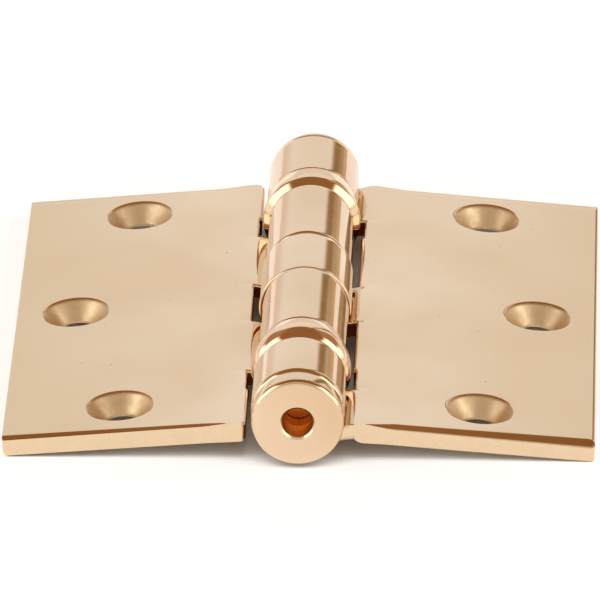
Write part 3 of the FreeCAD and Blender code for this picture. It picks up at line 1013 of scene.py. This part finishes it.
left_net = blank_net(
    [(-high, -low) for low, high in (KNUCKLE_SPANS[4], KNUCKLE_SPANS[2])],
    [(-high, -low) for low, high in (KNUCKLE_SPANS[5], KNUCKLE_SPANS[1])],
    HOLES,
    ends=(FAR_ROLL, ((0.95, 0.42), (0.15, 0.15), END_FADE)),
    outer=((0.2, 0.2), (1.0, 1.0)),
    rounds=[0.45, 0.7, 0.3, 0.4],
    dents=[(S_NOTCH - 0.3, y) for y in (-24.9, -6.4, 6.8, 25.3)],
    inner_corner=1.0,
)
two_knuckles = worked_by(
    blank_object("left_blank", left_net),
    ROLL,
    {ROLL_SIZES["Closing In"]: 0.1 * MM, ROLL_SIZES["Oval"]: 0.45 * MM, ROLL_SIZES["Side"]: -1.0},
    "leaf_with_two_knuckles",
)
print("left leaf open edges:", tidy_mesh(two_knuckles.data), "faces:", len(two_knuckles.data.polygons))

for leaf, body, node in (
    (three_knuckles, "jamb_leaf", "three_knuckle_leaf"),
    (two_knuckles, "door_leaf", "two_knuckle_leaf"),
):
    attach(leaf, body)
    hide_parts(node)

# %% [markdown]
# ## Turned pieces
#
# The tips, the pin, the bearing cups and the races all came off a lathe, so each is drawn the way a turner
# draws it: as one outline of corners, with a rounding at each corner, which is then turned about the pin. A
# Screw modifier would do the turning, but making the rings directly keeps the arcs exact and closes the
# poles.

# %% Turning helper
RING_STEPS = 160


def soften(corners, steps=7):
    """Draw arcs into an outline. Each corner is (radius, place along the pin, rounding), in mm."""
    outline = []
    for number, (radius, place_y, rounding) in enumerate(corners):
        here = np.array((radius, place_y), float)
        if rounding <= 0:
            outline.append(here)
            continue
        back = np.array(corners[number - 1][:2], float) - here
        ahead = np.array(corners[(number + 1) % len(corners)][:2], float) - here
        back /= np.linalg.norm(back)
        ahead /= np.linalg.norm(ahead)
        half = math.acos(np.clip(back @ ahead, -1, 1)) / 2
        middle = (back + ahead) / np.linalg.norm(back + ahead)
        centre = here + middle * rounding / math.sin(half)
        first = here + back * rounding / math.tan(half) - centre
        last = here + ahead * rounding / math.tan(half) - centre
        sweep = math.pi - 2 * half
        for step in range(steps + 1):
            share = step / steps
            blend_in = math.sin((1 - share) * sweep) / math.sin(sweep)
            blend_out = math.sin(share * sweep) / math.sin(sweep)
            outline.append(centre + first * blend_in + last * blend_out)
    return outline


def turn(name, corners, finishes, steps=7, bore=None):
    """Turn a closed outline about the pin. Corners on the axis become poles, and faces that lie within the
    bore's radius take the second finish."""
    outline = soften(corners, steps)
    mesh = bpy.data.meshes.new(name)
    points, rings = [], []
    for radius, place_y in outline:
        if radius < 1e-6:
            rings.append([len(points)] * RING_STEPS)
            points.append((0, place_y * MM, 0))
            continue
        rings.append(list(range(len(points), len(points) + RING_STEPS)))
        for step in range(RING_STEPS):
            angle = 2 * math.pi * step / RING_STEPS
            points.append((radius * math.cos(angle) * MM, place_y * MM, radius * math.sin(angle) * MM))
    faces = []
    for first, second in zip(rings, rings[1:] + rings[:1]):
        for step in range(RING_STEPS):
            after = (step + 1) % RING_STEPS
            corner_set = list(dict.fromkeys((first[step], first[after], second[after], second[step])))
            if len(corner_set) > 2:
                faces.append(corner_set)
    mesh.from_pydata(points, [], faces)
    for material in finishes:
        mesh.materials.append(material)
    if bore is not None:
        for face in mesh.polygons:
            far = max(math.hypot(points[corner][0], points[corner][2]) for corner in face.vertices)
            face.material_index = 1 if far < bore * MM else 0
    piece = new_object(name, mesh)
    print(name, "open edges:", tidy_mesh(mesh), "faces:", len(mesh.polygons))
    return piece


def placed_on(piece, body, node):
    """Hand a finished piece to the frame."""
    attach(piece, body)
    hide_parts(node)


print("a turned piece has", RING_STEPS, "sides")

# %% [markdown]
# The bottom tip is a plug pressed into the lowest knuckle, with a hole up its middle for the punch that
# drives the pin out. Its face is flat with a broad round edge, and the turner broke the mouth of the hole.

# %% Bottom tip
TIP_RADIUS = 6.92
TIP_THICKNESS = 3.5
PLUG_END = -HALF_HEIGHT + 3.2
BORE_RADIUS = 4.0
KNOCKOUT_RADIUS = 2.3
FACE = -HALF_HEIGHT - TIP_THICKNESS
# How far into the hole the painted light at its mouth reaches.
PAINTED_LIGHT_DEPTH = 4.2

# Faces inside the knockout hole take the bored finish, painted dark orange-brown as painted shade.
bottom_tip = turn("bottom_tip_plug", [
    (KNOCKOUT_RADIUS, FACE + PAINTED_LIGHT_DEPTH, 0),
    (KNOCKOUT_RADIUS, PLUG_END, 0),
    (BORE_RADIUS, PLUG_END, 0.3),
    (BORE_RADIUS, -HALF_HEIGHT, 0),
    (TIP_RADIUS, -HALF_HEIGHT, 0.4),
    (TIP_RADIUS, FACE, 0.9),
    (KNOCKOUT_RADIUS + 0.35, FACE, 0.18),
    (KNOCKOUT_RADIUS, FACE + 0.35, 0.18),
], [BRIGHT_BRASS, BORED_BRASS_PAINTED_SHADE], bore=KNOCKOUT_RADIUS + 0.03)
# The hole's faces near the tip's face take the painted light.
bottom_tip.data.materials.append(MOUTH_BRASS_PAINTED_LIGHT)
for face in bottom_tip.data.polygons:
    if face.material_index == 1 and face.center.y < (FACE + PAINTED_LIGHT_DEPTH) * MM:
        face.material_index = 2
placed_on(bottom_tip, "jamb_leaf", "bottom_tip")

# %% [markdown]
# The pin is one turned piece: a tapered lower end to find the knuckles, a plain shank, and a button head. Its
# neck is knurled where it grips the top knuckle. The ridges repeat, so Geometry Nodes set one ridge round the
# neck thirty times. The lower end was sawn off and not buffed, and it shows up the hole in the tip, so it
# takes the hole's dark orange-brown painted shade.

# %% Pin and knurl
PIN_RADIUS = 3.97
PIN_END = PLUG_END + 0.2
HEAD_FOOT = HALF_HEIGHT + 0.05
NECK_RADIUS = 3.76
KNURL_LENGTH = 8.0
KNURL_TEETH = 30
HEAD_THICKNESS = 2.7
HEAD_ROUND = 2.5

pin = turn("pin_with_button_head", [
    (0, PIN_END, 0),
    (2.5, PIN_END, 0.3),
    (PIN_RADIUS, PIN_END + 1.6, 0.5),
    (PIN_RADIUS, HEAD_FOOT - KNURL_LENGTH, 0.1),
    (NECK_RADIUS, HEAD_FOOT - KNURL_LENGTH, 0),
    (NECK_RADIUS, HEAD_FOOT, 0),
    (TIP_RADIUS, HEAD_FOOT, 0.15),
    (TIP_RADIUS, HEAD_FOOT + HEAD_THICKNESS, HEAD_ROUND),
    (0, HEAD_FOOT + HEAD_THICKNESS, 0),
], [BRIGHT_BRASS])
# The pin's sawn lower end takes the hole's painted shade.
for face in pin.data.polygons:
    if face.center.y < (PIN_END + 0.01) * MM:
        face.material_index = len(pin.data.materials)
pin.data.materials.append(BORED_BRASS_PAINTED_SHADE)
placed_on(pin, "pin", "hinge_pin")


def ring_of(tree_name, count, radius, level, material):
    """A tree that sets copies of its object round the pin, facing outwards, and makes them real."""
    tree = bpy.data.node_groups.new(tree_name, "GeometryNodeTree")
    tree.interface.new_socket(name="One", in_out="INPUT", socket_type="NodeSocketGeometry")
    names = {name: socket_in(tree, name, value)
             for name, value in {"Radius": radius * MM, "Along Pin": level * MM, "Count": count}.items()}
    tree.interface.new_socket(name="Ring", in_out="OUTPUT", socket_type="NodeSocketGeometry")
    given = add(tree, "NodeGroupInput").outputs
    whole = add(tree, "FunctionNodeFloatToInt", {0: given["Count"]}).outputs[0]
    circle = add(tree, "GeometryNodeMeshCircle", {"Vertices": whole, "Radius": given["Radius"]}).outputs[0]
    standing = {"Geometry": circle, "Rotation": (math.pi / 2, 0, 0)}
    upright = add(tree, "GeometryNodeTransform", standing).outputs[0]
    lifted = add(tree, "ShaderNodeCombineXYZ", {"Y": given["Along Pin"]}).outputs[0]
    upright = add(tree, "GeometryNodeTransform", {"Geometry": upright, "Translation": lifted}).outputs[0]
    place = add(tree, "GeometryNodeInputPosition").outputs[0]
    across, _, high = add(tree, "ShaderNodeSeparateXYZ", {0: place}).outputs
    angle = calc(tree, "MULTIPLY", calc(tree, "ARCTAN2", high, across), -1.0)
    facing = add(tree, "ShaderNodeCombineXYZ", {"Y": angle}).outputs[0]
    links = {"Points": upright, "Instance": given["One"], "Rotation": facing}
    shape = add(tree, "GeometryNodeInstanceOnPoints", links).outputs[0]
    shape = add(tree, "GeometryNodeRealizeInstances", {"Geometry": shape}).outputs[0]
    shape = add(tree, "GeometryNodeSetMaterial", {"Geometry": shape, "Material": material}).outputs[0]
    tree.links.new(shape, add(tree, "NodeGroupOutput").inputs[0])
    return tree, names


ridge_half = math.pi * NECK_RADIUS / KNURL_TEETH * 0.86
ridge_mesh = bpy.data.meshes.new("ridge")
ridge_corners = [(-0.15, -ridge_half), (-0.15, ridge_half), (0.0, ridge_half), (0.2, 0.08), (0.2, -0.08),
                 (0.0, -ridge_half)]
ridge_points = [(out * MM, y * MM, side * MM) for y in (0, KNURL_LENGTH - 0.1) for out, side in ridge_corners]
ridge_faces = [tuple(range(5, -1, -1)), tuple(range(6, 12))]
ridge_faces += [(k, (k + 1) % 6, (k + 1) % 6 + 6, k + 6) for k in range(6)]
ridge_mesh.from_pydata(ridge_points, [], ridge_faces)
ridge = new_object("ridge", ridge_mesh)
knurl_tree, _ = ring_of("knurl_round_neck", KNURL_TEETH, NECK_RADIUS, HEAD_FOOT - KNURL_LENGTH, BRIGHT_BRASS)
knurl = worked_by(ridge, knurl_tree, {}, "pin_knurl")
print("knurl open edges:", tidy_mesh(knurl.data), "faces:", len(knurl.data.polygons))
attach(knurl, "pin")

# %% [markdown]
# ## The bearings
#
# Each bearing is a plated cup that flares down over two steel races and a ring of balls. The cup was
# pressed: its wall widens gently, runs straight for a short way, rounds over and is rolled in at the lip,
# so that it keeps the grease in. The lower cup has a full round shoulder and the upper one a short sloped
# one. The upper race sits in the cup and the lower one rests on the knuckle below.

# %% Cups and races
BEARING_HEIGHT = 6.35
CUP_BASE_RADIUS = 7.0
CUP_WALL = 0.6
CUP_OPEN = 0.45
CUP_LIP = 0.6
CUP_LIP_RADIUS = 6.45
CUP_FLARE = 4.4
ROUND_SHOULDER = (3.3, 42, 2.3)
SLOPED_SHOULDER = (0.9, 38, 1.55)
RACE_BORE = 4.15
UPPER_RACE = 6.4
LOWER_RACE = 6.15
RACE_THICKNESS = 1.7
RACE_GAP = 1.3
BALL_RADIUS = 0.992
BALL_COUNT = 15
BALL_CIRCLE = (RACE_BORE + UPPER_RACE) / 2
GROOVE_RADIUS = BALL_RADIUS + 0.03


def groove(level, away, inwards):
    """Outline of a ball groove in a race face, away from the balls' plane up or down."""
    start = math.asin(RACE_GAP / 2 / GROOVE_RADIUS)
    angles = np.linspace(start, math.pi - start, 11)
    if inwards:
        angles = angles[::-1]
    return [(BALL_CIRCLE - GROOVE_RADIUS * math.cos(a), level + away * GROOVE_RADIUS * math.sin(a), 0)
            for a in angles]


def ball_bearing(prefix, base, plating, shoulder_shape, cup_body, upper_body, lower_body, balls_body):
    """One bearing, from its cup's base downwards. The shoulder is (radius, steepest tilt in degrees, height
    over the lip)."""
    lip = base - BEARING_HEIGHT + CUP_OPEN
    shoulder_radius, shoulder_tilt, shoulder_run = shoulder_shape
    shoulder = []
    for tilt in np.radians(np.linspace(0, shoulder_tilt, 15)):
        inward = shoulder_radius * (1 - math.cos(tilt))
        shoulder.append((CUP_RADIUS - inward, lip + shoulder_run - shoulder_radius * math.sin(tilt), 0))
    last_out, last_y, _ = shoulder[-1]
    foot_out = last_out - (last_y - lip) * math.tan(math.radians(shoulder_tilt))
    cup = turn(prefix + "_plated_cup", [
        (RACE_BORE, base, 0),
        (CUP_BASE_RADIUS, base, 0.15),
        (CUP_RADIUS, lip + shoulder_run + 0.7, 5.0),
        *shoulder,
        (max(foot_out, CUP_LIP_RADIUS + 0.1), lip, 0.03),
        (CUP_LIP_RADIUS, lip, 0.04),
        (CUP_LIP_RADIUS, lip + CUP_LIP, 0.04),
        (CUP_RADIUS - CUP_WALL, lip + CUP_LIP, 0),
        (CUP_RADIUS - CUP_WALL, base - CUP_FLARE, 0),
        (CUP_BASE_RADIUS - CUP_WALL, base - CUP_WALL, 0),
        (RACE_BORE, base - CUP_WALL, 0),
    ], [plating], steps=9)
    placed_on(cup, cup_body, prefix + "_cup")
    top = base - CUP_WALL
    under = top - RACE_THICKNESS
    balls_level = under - RACE_GAP / 2
    upper = turn(prefix + "_ground_upper_race", [
        (RACE_BORE, top, 0.1),
        (RACE_BORE, under, 0),
        *groove(balls_level, 1, False),
        (UPPER_RACE, under, 0),
        (UPPER_RACE, top, 0.2),
    ], [GROUND_STEEL])
    placed_on(upper, upper_body, prefix + "_upper_race")
    lower_top = under - RACE_GAP
    floor_y = base - BEARING_HEIGHT
    lower = turn(prefix + "_ground_lower_race", [
        (RACE_BORE, floor_y, 0.1),
        (LOWER_RACE, floor_y, 0.2),
        (LOWER_RACE, lower_top, 0),
        *groove(balls_level, -1, True),
        (RACE_BORE, lower_top, 0),
    ], [GROUND_STEEL])
    placed_on(lower, lower_body, prefix + "_lower_race")
    one = bpy.data.meshes.new("one_ball")
    work = bmesh.new()
    bmesh.ops.create_icosphere(work, subdivisions=3, radius=BALL_RADIUS * MM)
    work.to_mesh(one)
    work.free()
    ball = new_object("one_ball", one)
    tree, _ = ring_of(prefix + "_ball_ring", BALL_COUNT, BALL_CIRCLE, balls_level, LAPPED_STEEL)
    balls = worked_by(ball, tree, {}, prefix + "_lapped_balls")
    balls.data.shade_smooth()
    placed_on(balls, balls_body, prefix + "_balls")
    print(prefix, "balls:", BALL_COUNT, "faces:", len(balls.data.polygons))


ball_bearing("lower_bearing", -25.1, PLATED_BRASS, ROUND_SHOULDER,
             "door_leaf", "door_leaf", "jamb_leaf", "lower_balls")
ball_bearing("upper_bearing", 31.45, PALE_PLATED_BRASS, SLOPED_SHOULDER,
             "jamb_leaf", "jamb_leaf", "door_leaf", "upper_balls")
